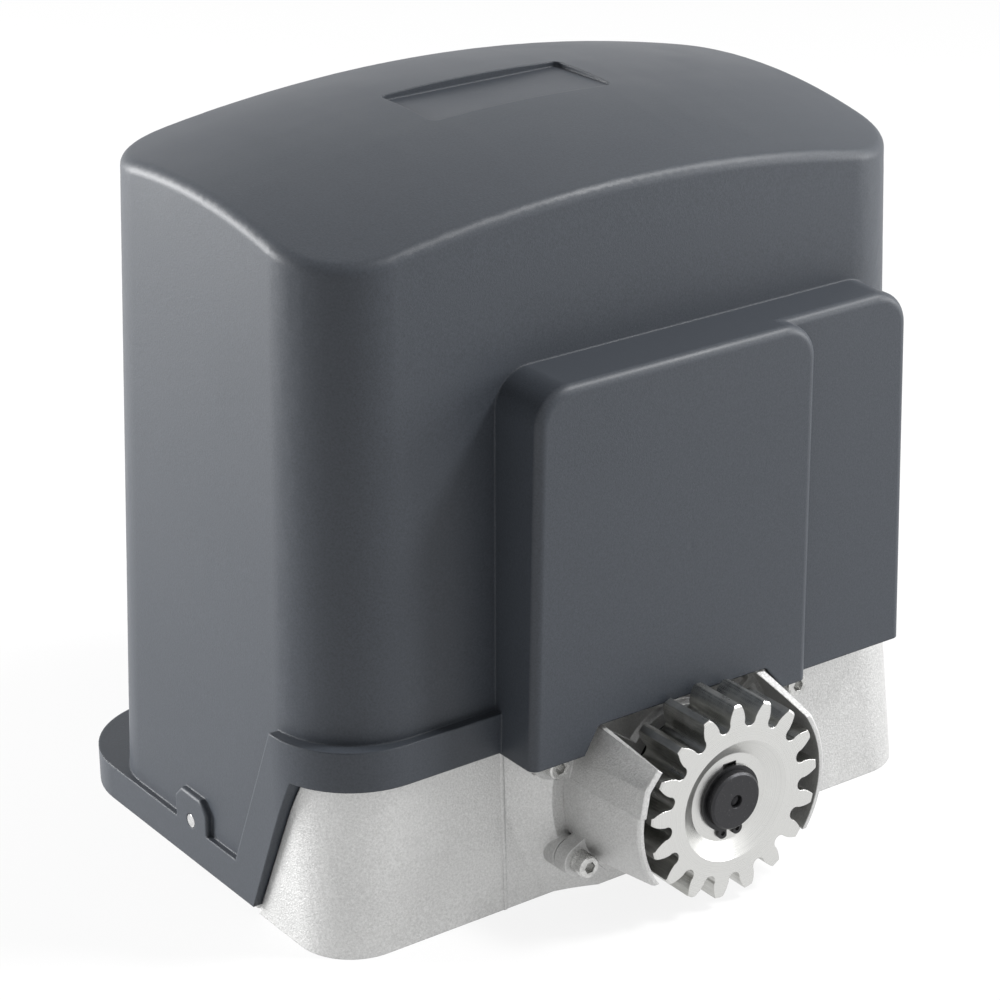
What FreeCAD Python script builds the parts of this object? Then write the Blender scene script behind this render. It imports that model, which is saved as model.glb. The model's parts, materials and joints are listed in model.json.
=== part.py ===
import FreeCAD, Part
import math
import os

V = FreeCAD.Vector
X = V(1, 0, 0)
Y = V(0, 1, 0)
Z = V(0, 0, 1)

# Frame: +X along the rack, -Y towards the gate, +Z up, origin at the middle of the foot, on the ground.

# ---- fits and clearances ----
RUN = 0.05          # shaft in a plain bore, radial
FREE = 0.4          # parts that pass each other
CAST_GAP = 0.8      # cover over casting

# ---- pinion and output shaft ----
MODULE = 4.0
TEETH = 17
PINION_W = 23.0
GX = 6.5            # shaft axis, along the rack
GZ = 41.6           # shaft axis, above the ground
GY = -133.7         # front face of the pinion
SHAFT_NOSE_R = 11.0
SHAFT_R = 12.5
SHAFT_TAIL_R = 10.0
WHEEL_SEAT_R = 13.0
RING_T = 1.2
KEY_W = 6.0
RECESS_R = 23.3
RECESS_FLOOR_R = 17.0
RECESS_D = 4.0

# ---- worm drive ----
WORM_MODULE = 2.0
WHEEL_TEETH = 28
WORM_PITCH_R = 9.0
MESH_PLAY = 0.34
WHEEL_W = 16.0
WHEEL_Y = -27.0
WORM_TURNS = 5

# ---- cover ----
WALL = 3.0
COVER_HALF = 134.0
COVER_FRONT = -86.3
COVER_BACK = 72.3
COVER_REF_Z = 80.3
COVER_R_LOW = (36.3, 28.6)      # front and rear corners at the foot
COVER_R_HIGH = (29.2, 31.4)     # and at the height of the blank
COVER_BLANK_Z = 300.0
DRAFT = 0.026
CROWN_Z = 275.9
CROWN_RX = 600.0
CROWN_RY = 280.0
CROWN_X = -3.0
CROWN_Y = 9.0
CROWN_FILLET = 5.0
BAND_STEP = 3.9      # band stands proud of the wall
BAND_HALF = COVER_HALF + BAND_STEP
BAND_FRONT = -90.1
BAND_BACK = 101.0
BAND_R = (34.0, 38.0)
BAND_TOP = 80.3
BAND_BOTTOM = 65.0
LOW_BAND_TOP = 18.1
COVER_FOOT = 4.0
STRUT_FRONT_Y = -65.2
STRUT_BACK_Y = -54.3
STRUT_SLOPE = 0.43
BULGE_X0 = -64.7
BULGE_STEP = 60.5
BULGE_X1 = 112.3
BULGE_Y0 = -108.6
BULGE_Y1 = -102.2
BULGE_Z0 = 64.3
BULGE_Z1 = 204.6
BULGE_R = 14.0
BULGE_FILLET = 3.5
ARCH_TOP = 74.5     # opening over the pinion, in the lower edge of the bulge
ARCH = (-42.0, -36.0, 40.5, 49.0)
POCKET = (-40.5, 38.0, -18.5, 15.2)
POCKET_FLOOR = 272.6
TAB_Y = 3.5
TAB_Z = 20.3
TAB_W = 22.2
TAB_TOP = 31.4
TAB_CUT = 4.5
PAN_R = 4.75
PAN_H = 3.6
PAN_EDGE = 1.4
GATE_MARK = (4.4, 132.6)     # shallow round mark on the bulge
GATE_MARK_R = 12.0
GATE_MARK_DEPTH = 0.2
COVER_SCREW_R = 2.5

# ---- base casting ----
BASE_STEP = 0.6      # casting set back from the cover wall
BASE_HALF = COVER_HALF - BASE_STEP
BASE_FRONT = -86.7
BASE_R_LOW = (22.0, 30.0)
BASE_R_HIGH = (32.0, 35.0)
FOOT_R = (1.0, 34.0)
BASE_TOP = 74.0
BAY_TOP = 66.0
BASE_FLOOR = 8.0
BAY_WALL = 8.0
CABLE_INSET = 24.0
CABLE_R = 7.0
GROMMET_R = 10.0
RIDGE_X = -62.2        # parting ridge on the front
RIDGE_W = 1.2
RIDGE_H = 0.35
RIDGE_TOP = 64.0
STRUT_GAP = 0.8
SEAT_R = 17.6       # seat of the lower worm bearing
JOINT_Y = -9.2      # where the tray of the casting is parted, hidden under the cover
FOOT_T = 9.0
FOOT_STEP = 4.3      # foot under the band
FOOT_HALF = BAND_HALF - FOOT_STEP
FOOT_BACK = 97.2
SLOT_INSET = 22.0
SLOT_X = COVER_HALF - SLOT_INSET
SLOT_Y0 = -62.0
SLOT_Y1 = 81.0
SLOT_R = 4.5
SLOT_L = 20.0
FLANGE_Y = -94.0
FLANGE_R = 47.0
BOSS_FACE_R = FLANGE_R + 5.0
BOSS_R = 74.0       # where its concave side runs out into the front

# ---- gear guard ----
GUARD_R = 47.0
GUARD_FRONT_R = 42.7
GUARD_T = 2.7
CHEEK_SPLIT = 7.5   # above this the cheek leaves the round: upright, then a flat plate leaning in
CHEEK_FRONT = [(44.4, 7.5), (42.5, 18.0), (36.9, 24.8)]
CHEEK_BACK = [(46.4, 7.5), (44.0, 16.6), (40.8, 31.7)]
CHEEK_LIP = 3.0
GUARD_FRONT_Y = GY + 1.5
GUARD_TAPER_Y = GY + 31.0
GUARD_FLOOR = 5.7
CHEEK_Z0 = 23.0
CHEEK_SLOPE = 0.37
LUG_R = 6.5
UPPER_DEPTH = 6.7   # upper lugs lie this much further back
LUGS = [(-54.8, 17.2, UPPER_DEPTH), (-46.8, -22.2, 0.0), (46.8, -22.2, 0.0), (54.8, 17.2, UPPER_DEPTH)]
LUG_T = 6.4
LUG_GAP = 0.5
LUG_SCREW_L = 22.0
M5_R = 2.5
M5_HEAD_R = 4.25
M5_HEAD_H = 5.0
WASHER_T = 1.3
LUG_FACE_Y = GY + 30.3

# ---- bearings: bore radius, outer radius, width ----
BRG_6205 = (12.5, 26.0, 15.0)
BRG_6204 = (10.0, 23.5, 14.0)
BRG_6203 = (8.5, 20.0, 12.0)
BRG_6202 = (7.5, 17.5, 11.0)
BRG_6201 = (6.0, 16.0, 10.0)

# ---- motor ----
STATOR_BORE = 30.5
ROTOR_R = 30.0
STATOR_R = 44.0
MOTOR_R = 48.0
STACK_Z0 = 112.0
STACK_Z1 = 192.0
LID_T = 10.0
MOTOR_TOP = 214.0
CAP_T = 16.0
TIE_R = 51.5

# ---- release ----
BOARD_INSET = 22.0
BOARD_EDGE = COVER_HALF - BOARD_INSET
BOARD_W = 96.0
BOARD_LEFT = BOARD_EDGE - BOARD_W
BOARD_X = (BOARD_LEFT + 4, BOARD_EDGE - 4)
BOARD_Z = (92, 226)
CAPACITOR_INSET = 39.0
CAPACITOR_AT = (CAPACITOR_INSET - COVER_HALF, 46.0)
LEVER_GAP = 0.6
LEVER_X = COVER_HALF + LEVER_GAP
RELEASE_Y = 0.5
RELEASE_Z = GZ + 5.0
SPINDLE_R = 5.0
ECCENTRIC = 3.54
PIN_R = 3.0
SLEEVE_R = 22.0
DOG_H = 5.0
WINDOW_R = 12.0

PITCH_R = MODULE * TEETH / 2
TIP_R = PITCH_R + MODULE
ROOT_R = PITCH_R - 1.25 * MODULE
PINION_BACK = GY + PINION_W
WHEEL_PITCH_R = WORM_MODULE * WHEEL_TEETH / 2
CENTRES = WHEEL_PITCH_R + WORM_PITCH_R
MX = GX - CENTRES
MY = WHEEL_Y
LEAD = math.pi * WORM_MODULE
CABLE_X = COVER_HALF - CABLE_INSET
CABLE_Y = -30.0
BAY_X = COVER_HALF - BAY_WALL
SCREW_BORE = 28.0
LID_TOP = BASE_TOP + LID_T


def box(x0, x1, y0, y1, z0, z1):
    return Part.makeBox(x1 - x0, y1 - y0, z1 - z0, V(x0, y0, z0))


def cyl(r, x, y, z, h, axis=Z):
    return Part.makeCylinder(r, h, V(x, y, z), axis)


def ring(r0, r1, x, y, z, h, axis=Z):
    return cyl(r1, x, y, z, h, axis).cut(cyl(r0, x, y, z, h, axis))


def join(shapes):
    solid = shapes[0]
    if len(shapes) > 1:
        solid = solid.multiFuse(shapes[1:])
    return solid.removeSplitter()


def minus(solid, tools):
    for tool in tools:
        solid = solid.cut(tool)
    return solid


def face_of(points):
    return Part.Face(Part.makePolygon([V(*p) for p in points] + [V(*points[0])]))


def turned(profile, x, y, z, axis):
    """Solid of revolution. profile lists (radius, station) pairs along the axis from (x, y, z)."""
    pts = [V(r, 0, s) for r, s in profile]
    face = Part.Face(Part.makePolygon(pts + [pts[0]]))
    solid = face.revolve(V(0, 0, 0), Z, 360)
    turn = FreeCAD.Rotation(Z, axis)
    solid.Placement = FreeCAD.Placement(V(x, y, z), turn)
    return Part.Solid(solid) if solid.ShapeType != "Solid" else solid


def outline(half, y0, y1, rf, rb, z):
    """Rounded rectangle: corner radius rf on the -Y side, rb on the +Y side."""
    s = math.sqrt(0.5)
    corners = [
        (-half + rf, y0 + rf, rf, (-1, 0), (-s, -s), (0, -1)),
        (half - rf, y0 + rf, rf, (0, -1), (s, -s), (1, 0)),
        (half - rb, y1 - rb, rb, (1, 0), (s, s), (0, 1)),
        (-half + rb, y1 - rb, rb, (0, 1), (-s, s), (-1, 0)),
    ]
    edges = []
    ends = []
    for cx, cy, r, a, m, b in corners:
        pts = [V(cx + r * d[0], cy + r * d[1], z) for d in (a, m, b)]
        ends.append((pts[0], pts[2]))
        edges.append(Part.Arc(*pts).toShape())
    wire = []
    for i in range(4):
        wire.append(edges[i])
        wire.append(Part.makeLine(ends[i][1], ends[(i + 1) % 4][0]))
    return Part.Wire(wire)


def drafted(half, y0, y1, low_r, high_r, z0, z1, ref=0.0, slope=0.0, t=0.0):
    """Rounded block whose walls lean inwards with height; sizes hold at height ref.

    low_r and high_r are (front, rear) corner radii at the two ends; t insets all of it."""
    loops = []
    for z, r in ((z0, low_r), (z1, high_r)):
        d = slope * (z - ref) + t
        loops.append(outline(half - d, y0 + d, y1 - d, r[0] - t, r[1] - t, z))
    return Part.makeLoft(loops, True, True)


def crown(inset=0.0):
    """Everything under the doubly curved roof, inset by the wall when it is the inner face."""
    top = CROWN_Z - inset
    ry = CROWN_RY - inset
    span = 130.0
    edge = top - ry + math.sqrt(ry * ry - span * span)
    ya = CROWN_Y - span
    yb = CROWN_Y + span
    arc = Part.Arc(V(CROWN_X, ya, edge), V(CROWN_X, CROWN_Y, top), V(CROWN_X, yb, edge)).toShape()
    rest = Part.makePolygon([V(CROWN_X, yb, edge), V(CROWN_X, yb, -30), V(CROWN_X, ya, -30),
        V(CROWN_X, ya, edge)])
    face = Part.Face(Part.Wire([arc] + rest.Edges))
    hub = V(CROWN_X, 0, CROWN_Z - CROWN_RX)
    face.rotate(hub, Y, -30)
    return face.revolve(hub, Y, 60)


def side_region(points):
    """Region given by its (y, z) outline, through the whole length."""
    face = face_of([(-200, y, z) for y, z in points])
    return face.extrude(V(400, 0, 0))


def strut_y(z, back=False):
    if back:
        return STRUT_BACK_Y + STRUT_SLOPE * (BAND_TOP - z)
    return STRUT_FRONT_Y + STRUT_SLOPE * (BAND_BOTTOM - z)


def band_region(t=0.0):
    """High band in front, slanted strut, low band behind; t insets the closed sides."""
    run = t * math.hypot(1, STRUT_SLOPE)
    low = COVER_FOOT - (20 if t else 0)
    shelf = LOW_BAND_TOP - t
    top = BAND_TOP - t
    bottom = BAND_BOTTOM - (20 if t else 0)
    pts = [(-150, bottom), (STRUT_FRONT_Y, bottom), (STRUT_FRONT_Y, BAND_BOTTOM)]
    if t == 0:
        pts = [(-150, bottom)]
    pts += [(strut_y(BAND_BOTTOM) + run, BAND_BOTTOM), (strut_y(low) + run, low), (150, low), (150, shelf)]
    pts.append((strut_y(shelf, True) - run, shelf))
    pts.append((strut_y(top, True) - run, top))
    pts.append((-150, top))
    return side_region(pts)


def skirt_region(shift=0.0, low=COVER_FOOT, bottom=BAND_BOTTOM):
    """Side view of all that lies behind the slanted front edge of the strut."""
    pts = [(-150, bottom), (strut_y(bottom) + shift, bottom), (strut_y(low) + shift, low), (150, low)]
    top = COVER_BLANK_Z + 20
    return side_region(pts + [(150, top), (-150, top)])


def bulge_panel(x0, x1, y, left, right, t=0.0):
    """One level of the front bulge; t insets it for the inner face, open below."""
    z0 = BULGE_Z0 - (10 if t else 0)
    z1 = BULGE_Z1 - t
    lean = DRAFT
    xa = x0 + t
    xb = x1 - t
    r = BULGE_R - t
    h = z1 - z0
    la = lean if left else 0.0
    lb = lean if right else 0.0
    y += t
    pts = [V(xa, y, z0), V(xa + la * h, y, z1), V(xb - lb * h, y, z1), V(xb, y, z0)]
    solid = Part.Face(Part.makePolygon(pts + [pts[0]])).extrude(V(0, COVER_FRONT + 16 - y, 0))
    posts = []
    for e in solid.Edges:
        b = e.BoundBox
        if b.YLength > 10 and b.ZMin > z1 - 1:
            posts.append(e)
    solid = solid.makeFillet(r, posts)
    rim = []
    for e in solid.Edges:
        b = e.BoundBox
        if b.YLength < 0.01 and abs(b.YMin - y) < 0.01 and b.ZMax > z0 + 1:
            rim.append(e)
    return solid.makeFillet(max(BULGE_FILLET - t, 0.8), rim)


def bulge(t=0.0):
    left = bulge_panel(BULGE_X0, BULGE_STEP, BULGE_Y0, True, False, t)
    right = bulge_panel(BULGE_STEP - 40, BULGE_X1, BULGE_Y1, False, True, t)
    return left.fuse(right)


def arch():
    """Opening in the lower edge of the bulge, over the pinion."""
    x0, x1, x2, x3 = ARCH
    drop = 6.0
    lean0 = (x1 - x0) / (ARCH_TOP - BULGE_Z0)
    lean1 = (x3 - x2) / (ARCH_TOP - BULGE_Z0)
    low = BULGE_Z0 - drop
    face = face_of([(x0 - lean0 * drop, -130, low), (x1, -130, ARCH_TOP), (x2, -130, ARCH_TOP),
                    (x3 + lean1 * drop, -130, low)])
    wedge = face.extrude(V(0, 38, 0))
    corners = [e for e in wedge.Edges if e.BoundBox.YLength > 30 and e.BoundBox.ZMin > ARCH_TOP - 1]
    return wedge.makeFillet(2.0, corners)


def tab(side):
    """Raised pad with cut corners round the cover screw."""
    x = BAND_HALF
    c = TAB_CUT
    y0 = TAB_Y - TAB_W / 2
    y1 = TAB_Y + TAB_W / 2
    pts = [(y0, COVER_FOOT), (y1, COVER_FOOT), (y1, TAB_TOP - c), (y1 - c, TAB_TOP), (y0 + c, TAB_TOP)]
    pts.append((y0, TAB_TOP - c))
    face = face_of([(side * x, y, z) for y, z in pts])
    pad = face.extrude(V(-side * (x - COVER_HALF + WALL), 0, 0))
    rim = []
    for e in pad.Edges:
        b = e.BoundBox
        if b.XLength < 0.01 and abs(abs(b.XMin) - x) < 0.01 and b.ZMax > COVER_FOOT + 1:
            rim.append(e)
    return pad.makeFillet(1.2, rim)


def label_pocket():
    """Bare pocket in the roof, its floor flat, so it runs out towards the front."""
    x0, x1, y0, y1 = POCKET
    pts = [(x0, y0), (x1, y0), (x1, y1), (x0, y1)]
    base = Part.makePolygon([V(x, y, 0) for x, y in pts + [pts[0]]])
    solid = Part.Face(base).extrude(V(0, 0, 40))
    solid = solid.makeFillet(3.0, [e for e in solid.Edges if e.BoundBox.ZLength > 30])
    solid.translate(V(0, 0, POCKET_FLOOR))
    return solid


def cover():
    sides = (COVER_HALF, COVER_FRONT, COVER_BACK, COVER_R_LOW, COVER_R_HIGH)
    shell = drafted(*sides, COVER_FOOT, COVER_BLANK_Z, COVER_REF_Z, DRAFT)
    shell = shell.common(crown())
    shell = shell.makeFillet(CROWN_FILLET, [e for e in shell.Edges if e.BoundBox.ZMin > 200])
    shell = shell.common(skirt_region())
    rim = (BAND_HALF, BAND_FRONT, BAND_BACK, BAND_R, BAND_R)
    band = drafted(*rim, COVER_FOOT, BAND_TOP)
    band = band.common(band_region())
    shell = shell.fuse([band, bulge(), tab(-1), tab(1)])
    t = WALL
    core = drafted(*sides, COVER_FOOT - 20, COVER_BLANK_Z, COVER_REF_Z, DRAFT, t).common(crown(t))
    groove = drafted(*rim, COVER_FOOT - 20, BAND_TOP, t=t)
    core = core.fuse([groove.common(band_region(t)), bulge(t)])
    keep = []
    for side in (-1, 1):
        x = side * (COVER_HALF - WALL / 2)
        keep.append(box(x - 5, x + 5, TAB_Y - TAB_W / 2 + 2, TAB_Y + TAB_W / 2 - 2, COVER_FOOT, TAB_TOP - 2))
    w = COVER_HALF - 1.4
    core = minus(core, [k.cut(box(-w, w, -50, 50, -10, 60)) for k in keep])
    x0, x1, y0, y1 = POCKET
    core = core.cut(box(x0 - t, x1 + t, y0 - t, y1 + t, POCKET_FLOOR - t, POCKET_FLOOR + 30))
    shell = shell.cut(core)
    shell = minus(shell, [arch(), label_pocket()])
    for side in (-1, 1):
        shell = shell.cut(cyl(COVER_SCREW_R + 0.25, side * (BAND_HALF - 18), TAB_Y, TAB_Z, 20, X * side))
    shell = shell.cut(cyl(WINDOW_R, COVER_HALF - 14, RELEASE_Y, RELEASE_Z, 25, X))
    x, z = GATE_MARK
    mark = Part.makeSphere(GATE_MARK_R, V(x, BULGE_Y0 + GATE_MARK_DEPTH - GATE_MARK_R, z))
    shell = shell.cut(mark)
    return shell.removeSplitter()


def screw(x, y, z, axis, r, length, head_r, head_h, drive_r):
    """Screw with its head seat at (x, y, z), the shank running along axis."""
    shank = cyl(r, x, y, z, length, axis)
    head = cyl(head_r, x, y, z, head_h, axis * -1)
    top = [e for e in head.Edges if e.Curve.TypeId == "Part::GeomCircle"]
    far = V(x, y, z) - axis * head_h
    top = [e for e in top if (e.Curve.Center - far).Length < 0.01]
    head = head.makeChamfer(min(0.5, head_h / 4), top)
    seat = V(x, y, z) - axis * head_h * 0.45
    socket = hexagon(drive_r, seat, axis * -1, head_h)
    return shank.fuse(head).cut(socket)


def hexagon(r, at, axis, h):
    pts = [V(r * math.cos(math.radians(60 * i)), r * math.sin(math.radians(60 * i)), 0) for i in range(6)]
    solid = Part.Face(Part.makePolygon(pts + [pts[0]])).extrude(V(0, 0, h))
    solid.Placement = FreeCAD.Placement(at, FreeCAD.Rotation(Z, axis))
    return solid


def cross_screw(side):
    """Pan head screw with cross recess, through the tab into the base."""
    x = side * BAND_HALF
    out = X * side
    rise = PAN_H - PAN_EDGE
    dome = (PAN_R ** 2 + rise ** 2) / (2 * rise)
    head = cyl(PAN_R, x, TAB_Y, TAB_Z, PAN_H, out)
    head = head.common(Part.makeSphere(dome, V(x + side * (PAN_H - dome), TAB_Y, TAB_Z)))
    shank = cyl(COVER_SCREW_R, x, TAB_Y, TAB_Z, 20, out * -1)
    tip = x + side * 1.6
    wing = box(min(tip, tip + side * 3), max(tip, tip + side * 3), TAB_Y - 2.2, TAB_Y + 2.2,
        TAB_Z - 0.45, TAB_Z + 0.45)
    wing2 = wing.copy()
    wing2.rotate(V(x, TAB_Y, TAB_Z), X, 90)
    return head.fuse(shank).cut(wing).cut(wing2)


def base_outer():
    """Visible front of the casting, the part under the cover, and the foot."""
    front = drafted(BASE_HALF, BASE_FRONT, 60, BASE_R_LOW, BASE_R_HIGH, 0, BASE_TOP, BAND_BOTTOM, DRAFT)
    g = STRUT_GAP
    cut = side_region([(-150, -5), (strut_y(-5) - g, -5), (strut_y(BASE_TOP + 5) - g, BASE_TOP + 5),
                       (-150, BASE_TOP + 5)])
    front = front.common(cut)
    g = WALL + CAST_GAP
    rear = drafted(COVER_HALF, COVER_FRONT, COVER_BACK, COVER_R_LOW, COVER_R_LOW, 0, BASE_TOP, COVER_REF_Z,
                   DRAFT, g)
    foot = drafted(FOOT_HALF, -35, FOOT_BACK, FOOT_R, FOOT_R, 0, FOOT_T)
    for side in (-1, 1):
        x = side * FOOT_HALF
        foot = foot.cut(box(x - 1.8, x + 1.8, TAB_Y - TAB_W / 2, TAB_Y + TAB_W / 2, -1, FOOT_T + 1))
    return front.fuse([rear, foot])


def bay(x0, x1, y0, y1, z0, z1, r=8.0):
    solid = box(x0, x1, y0, y1, z0, z1)
    return solid.makeFillet(r, [e for e in solid.Edges if e.BoundBox.ZLength > z1 - z0 - 0.01])


CHAMBER = (MX - 27.5, GX + 37.5, -70.0, 12.0)
BLOCK = (MX - 43.5, GX + 49.5, -84.0, 32.0)
LID_SCREWS = [(-65, -72), (28, -74), (49, -56), (49, 8), (26, 22), (-65, 22)]
LID_SCREW_L = 18.0


def front_boss():
    """Round boss behind the pinion, its side a concave arc that runs out into the front."""
    rise = BASE_FRONT - FLANGE_Y
    run = BOSS_R - BOSS_FACE_R
    r = (run * run + rise * rise) / (2 * rise)
    half = run / 2
    mid = rise - r + math.sqrt(r * r - half * half)
    arc = Part.Arc(V(BOSS_FACE_R, 0, 0), V(BOSS_R - half, 0, mid), V(BOSS_R, 0, rise)).toShape()
    rest = Part.makePolygon([V(BOSS_R, 0, rise), V(BOSS_R, 0, 14), V(0, 0, 14), V(0, 0, 0),
        V(BOSS_FACE_R, 0, 0)])
    solid = Part.Face(Part.Wire([arc] + rest.Edges)).revolve(V(0, 0, 0), Z, 360)
    solid.Placement = FreeCAD.Placement(V(GX, FLANGE_Y, GZ), FreeCAD.Rotation(Z, Y))
    return solid


def parting_ridge():
    """Thin raised line down the front face, following its draft."""
    pts = []
    for z, out in ((0, 1), (RIDGE_TOP, 1), (RIDGE_TOP, 0), (0, 0)):
        y = BASE_FRONT + DRAFT * (z - BAND_BOTTOM)
        pts.append(V(RIDGE_X - RIDGE_W / 2, y - RIDGE_H if out else y + 2, z))
    return Part.Face(Part.makePolygon(pts + [pts[0]])).extrude(V(RIDGE_W, 0, 0))


def whole_casting():
    solid = base_outer()
    boss = front_boss().common(box(-100, 110, -100, -60, 0, BASE_TOP))
    solid = solid.fuse([boss, parting_ridge()])
    lugs = []
    for dx, dz, deep in LUGS:
        seat = LUG_FACE_Y + deep + LUG_T + LUG_GAP
        solid = solid.cut(cyl(LUG_R + 0.7, GX + dx, seat - 20, GZ + dz, 20, Y))
        lugs.append(cyl(LUG_R, GX + dx, seat, GZ + dz, -80 - seat, Y))
    solid = solid.fuse(lugs)
    lower = [
        box(BLOCK[1] + 0.0, 200, -200, 200, BAY_TOP, 90),
        box(-200, BLOCK[0], -200, 200, BAY_TOP, 90),
        box(-200, 200, BLOCK[3], 200, BAY_TOP, 90),
    ]
    x0, x1, y0, y1 = CHAMBER
    bays = [
        bay(x0, x1, y0, y1, BASE_FLOOR, 90),
        bay(BLOCK[1], BAY_X, -70, 30, BASE_FLOOR, 90, 12),
        bay(-BAY_X, BLOCK[0] - 2, -70, 30, BASE_FLOOR, 90, 12),
    ]
    far = BAY_X - 6
    for xa, xb in ((-far, -3), (3, far)):
        bays.append(bay(xa, xb, 37, 62, -1, BAY_TOP - 6, 6))
    solid = minus(solid, lower + bays)
    ribs = []
    for side in (-1, 1):
        x = side * BAY_X
        ribs.append(cyl(6.5, x - side * 14, TAB_Y, TAB_Z, 15, X * side))
        ribs.append(box(min(x - side * 14, x), max(x - side * 14, x), TAB_Y - 3, TAB_Y + 3, 7, TAB_Z))
    ribs.append(cyl(SEAT_R, MX, MY, BASE_FLOOR - 1, 10, Z))
    ribs.append(cyl(9.5, BAY_X - 1, RELEASE_Y, RELEASE_Z, BASE_HALF - BAY_X + 1, X))
    solid = solid.fuse(ribs)
    holes = [
        cyl(BRG_6205[1], GX, FLANGE_Y + 6, GZ, 40, Y),
        cyl(20.0, GX, FLANGE_Y - 1, GZ, 8, Y),
        cyl(BRG_6204[1], GX, 5, GZ, 23, Y),
        cyl(BRG_6201[1], MX, MY, 10, 20, Z),
        cyl(SPINDLE_R + RUN, 30, RELEASE_Y, RELEASE_Z, COVER_HALF - 24, X),
        cyl(GROMMET_R, CABLE_X, CABLE_Y, -1, 20, Z),
    ]
    for side in (-1, 1):
        holes.append(cyl(COVER_SCREW_R, side * (BAND_HALF - SCREW_BORE), TAB_Y, TAB_Z, SCREW_BORE, X * side))
        for y in (SLOT_Y0, SLOT_Y1):
            holes.append(slot(side * SLOT_X, y))
    for x, y in LID_SCREWS:
        holes.append(cyl(3.0, x, y, LID_TOP - LID_SCREW_L - 1, 30, Z))
    for dx, dz, deep in LUGS:
        seat = LUG_FACE_Y + deep - WASHER_T
        holes.append(cyl(M5_R, GX + dx, seat, GZ + dz, LUG_SCREW_L + 2, Y))
    solid = minus(solid, holes)
    hollow = []
    for x0, x1 in ((-98, -62), (-56, -4), (2, 50), (56, 98)):
        hollow.append(bay(x0, x1, -72, 28, -1, 3, 6))
    solid = minus(solid, hollow)
    return solid.removeSplitter()


def gearbox_space():
    """Walls round the oil chamber, between the front wall and the rear of the tray."""
    return box(BLOCK[0] - 2, BLOCK[1], CHAMBER[2], 30, BASE_FLOOR, BASE_TOP + 1).cut(
        cyl(SEAT_R + 1, MX, MY, 0, BASE_FLOOR + 12))


def base_casting():
    """Front of the casting: front wall, boss, lugs and the fore part of the tray."""
    fore = box(-200, 200, -200, JOINT_Y, -20, 200)
    return whole_casting().cut(gearbox_space()).common(fore)


def base_rear():
    """Rear of the casting: the tray behind the joint, and the foot with its two bays."""
    aft = box(-200, 200, JOINT_Y, 200, -20, 200)
    return whole_casting().cut(gearbox_space()).common(aft)


def gearbox_body():
    return whole_casting().common(gearbox_space())


def slot(x, y):
    h = SLOT_L / 2 - SLOT_R
    a = cyl(SLOT_R, x - h, y, -1, 30, Z)
    b = cyl(SLOT_R, x + h, y, -1, 30, Z)
    return a.fuse([b, box(x - h, x + h, y - SLOT_R, y + SLOT_R, -1, 29)])


def inset(points, t):
    """Open run of (x, z) points moved sideways by t, with mitred corners."""
    out = []
    n = len(points)
    for i in range(n):
        normals = []
        for a, b in ((i - 1, i), (i, i + 1)):
            if a < 0 or b >= n:
                continue
            dx = points[b][0] - points[a][0]
            dz = points[b][1] - points[a][1]
            size = math.hypot(dx, dz)
            normals.append((-dz / size, dx / size))
        nx = sum(v[0] for v in normals)
        nz = sum(v[1] for v in normals)
        k = t * len(normals) / (nx * nx + nz * nz)
        out.append((points[i][0] + nx * k, points[i][1] + nz * k))
    return out


def cheek_plate(side):
    """Upper part of a cheek: upright, then leaning in; it reaches further forward than the round part."""
    y0 = GUARD_FRONT_Y - CHEEK_LIP
    loops = []
    for y, run in ((y0, CHEEK_FRONT), (GUARD_TAPER_Y, CHEEK_BACK), (FLANGE_Y, CHEEK_BACK)):
        pts = run + inset(run, GUARD_T)[::-1]
        pts = [V(GX + side * a, y, GZ + b) for a, b in pts]
        loops.append(Part.makePolygon(pts + [pts[0]]))
    return Part.makeLoft(loops[:2], True, True).fuse(Part.makeLoft(loops[1:], True, True))


def ear(dx, dz, y0, y1):
    """Web from the guard's wall out to a lug."""
    r = math.hypot(dx, dz)
    ux = dx / r
    uz = dz / r
    pts = []
    for k, w in ((GUARD_R - 2.2, 1), (r, 1), (r, -1), (GUARD_R - 2.2, -1)):
        pts.append((GX + ux * k - uz * w * LUG_R, y0, GZ + uz * k + ux * w * LUG_R))
    return face_of(pts).extrude(V(0, y1 - y0, 0))


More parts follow.
